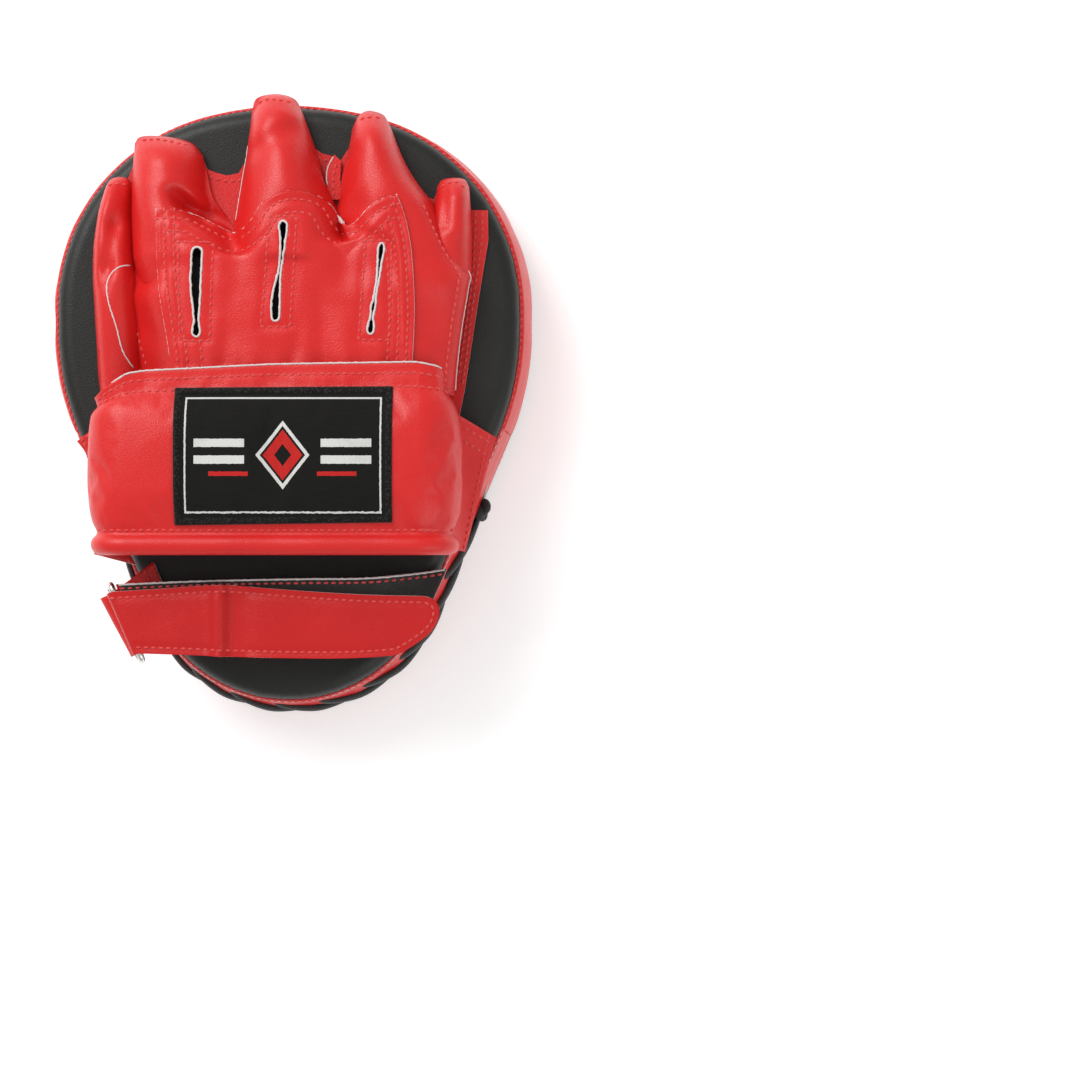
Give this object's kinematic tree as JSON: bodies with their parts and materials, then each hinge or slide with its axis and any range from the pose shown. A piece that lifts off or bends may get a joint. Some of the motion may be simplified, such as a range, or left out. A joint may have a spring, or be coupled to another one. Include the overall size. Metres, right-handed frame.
{
  "type": "focus mitt",
  "caption": "Padded teardrop focus mitt with a printed target on its striking face, a fingered glove with a padded wrist cuff on its back, laced side wall and a ring-tensioned wrist strap.",
  "frame": {"origin": "centre of the target on the flat striking face, which the mitt lies on", "axes": "+Y to the fingertips, +Z out of the back through the glove, +X to the little finger's side"},
  "size_m": [0.205, 0.261, 0.0857],
  "materials": {
    "black_leather": "satin",
    "red_leather": "satin",
    "red_binding": "satin",
    "red_lining": "matte",
    "foam": "matte",
    "hook_loop": "matte",
    "lace": "satin",
    "label": "matte",
    "nickel": "polished"
  },
  "bodies": {
    "mitt": {"front_cover": "black_leather", "back_cover": "black_leather", "side_wall": "red_leather", "lacing_band_front": "red_leather", "lacing_band_back": "red_leather", "front_binding": "red_binding", "back_binding": "red_binding", "impact_foam": "foam", "core_foam": "foam", "backing_foam": "foam", "lace": "lace", "palm_panel": "red_leather", "thumb_sleeve": "red_leather", "index_sleeve": "red_leather", "middle_sleeve": "red_leather", "ring_sleeve": "red_leather", "little_sleeve": "red_leather", "hand_back_panel": "red_leather", "knuckle_panel": "red_leather", "cuff_shell": "red_leather", "cuff_padding": "foam", "cuff_lining": "red_lining", "cuff_edge_roll": "red_leather", "cuff_label": "label", "cuff_gusset_right": "red_leather", "cuff_gusset_left": "red_leather", "strap_under": "red_leather", "strap_loop_strip": "hook_loop", "ring_tab": "red_leather"},
    "strap_ring": {"strap_ring": "nickel", "strap_turn": "red_leather"},
    "strap_flap": {"strap_flap": "red_leather", "strap_hook_patch": "hook_loop"}
  },
  "joints": [
    {"name": "ring_swing", "type": "hinge", "parent": "mitt", "child": "strap_ring", "pos_m": [-0.06787, -0.10772, 0.05345], "axis": [0.3875, -0.9219, 0], "range_deg": [0, 25]},
    {"name": "strap_flap_peel", "type": "hinge", "parent": "strap_ring", "child": "strap_flap", "pos_m": [-0.06528, -0.10663, 0.0645], "axis": [0.3875, -0.9219, 0], "range_deg": [0, 150]}
  ]
}
